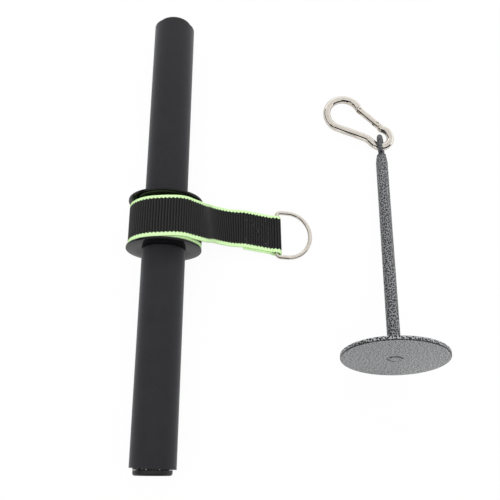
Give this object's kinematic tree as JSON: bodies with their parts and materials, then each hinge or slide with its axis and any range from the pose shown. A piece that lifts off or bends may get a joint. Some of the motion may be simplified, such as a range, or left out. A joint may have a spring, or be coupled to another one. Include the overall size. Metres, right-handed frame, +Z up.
{
  "type": "wrist roller",
  "caption": "Foam-gripped bar with a flanged spool of wound webbing that ends in a D-ring, and a separate weight pin: a round plate on a rod with a welded eye and a snap hook.",
  "frame": {"origin": "on the table, at the middle of the set's footprint as it lies", "axes": "+Y along the bar, away from the viewer; +X towards the loading pin; +Z up"},
  "size_m": [0.2816, 0.421, 0.0933],
  "materials": {
    "foam": "matte closed-cell foam",
    "cap": "satin moulded plastic",
    "black_steel": "satin black coating",
    "tube_steel": "bare drawn tube",
    "webbing": "ribbed black webbing with lime selvedges",
    "thread": "black sewing thread",
    "nickel": "bright nickel plate",
    "zinc": "zinc-plated steel",
    "hammertone": "grey hammered paint"
  },
  "bodies": {
    "roller": {"core_tube": "tube_steel", "lower_flange": "black_steel", "upper_flange": "black_steel", "lower_grip": "foam", "upper_grip": "foam", "lower_end_cap": "cap", "upper_end_cap": "cap", "anchor_washer": "zinc", "anchor_screw": "zinc", "strap_core": "webbing"},
    "strap_turns": {"strap_winding": "webbing", "strap_run": "webbing"},
    "sewn_end": {"strap_end": "webbing", "strap_stitching": "thread"},
    "ring": {"d_ring": "nickel"},
    "loading_pin": {"base_plate": "hammertone", "load_rod": "hammertone", "eye_ring": "hammertone", "eye_weld": "hammertone"},
    "snap_hook": {"hook_body": "nickel"},
    "gate": {"hook_gate": "nickel", "gate_rivet": "nickel", "latch_pin": "nickel", "gate_plunger": "zinc", "gate_spring": "zinc"}
  },
  "joints": [
    {"name": "strap_swing", "type": "hinge", "parent": "roller", "child": "strap_turns", "pos_m": [-0.10763, 0, 0.03323], "axis": [0, -1, 0], "range_deg": [0, 180]},
    {"name": "strap_payout", "type": "slide", "parent": "strap_turns", "child": "sewn_end", "axis": [1, 0, 0], "range_m": [0, 0.1], "deforming": ["strap_run"]},
    {"name": "ring_swing", "type": "hinge", "parent": "sewn_end", "child": "ring", "pos_m": [-0.00103, 0.0088, 0.00428], "axis": [0, -1, 0], "range_deg": [-150, 160]},
    {"name": "pin_lift", "type": "slide", "parent": "roller", "child": "loading_pin", "axis": [0, 0, 1], "range_m": [0, 0.3]},
    {"name": "hook_swing", "type": "hinge", "parent": "loading_pin", "child": "snap_hook", "pos_m": [0.10616, 0.10743, 0.00946], "axis": [0.997, 0.004, 0.0774], "range_deg": [-20, 90]},
    {"name": "gate_swing", "type": "hinge", "parent": "snap_hook", "child": "gate", "pos_m": [0.1037, 0.13331, 0.00834], "axis": [-0.0775, 0.0359, 0.9963], "range_deg": [0, 28], "stiffness_Nm_per_rad": 0.04, "springref_deg": -14.32}
  ],
  "couplings": [
    {"joint": "strap_payout", "follows": "strap_swing", "m_per_rad": 0.03165}
  ]
}
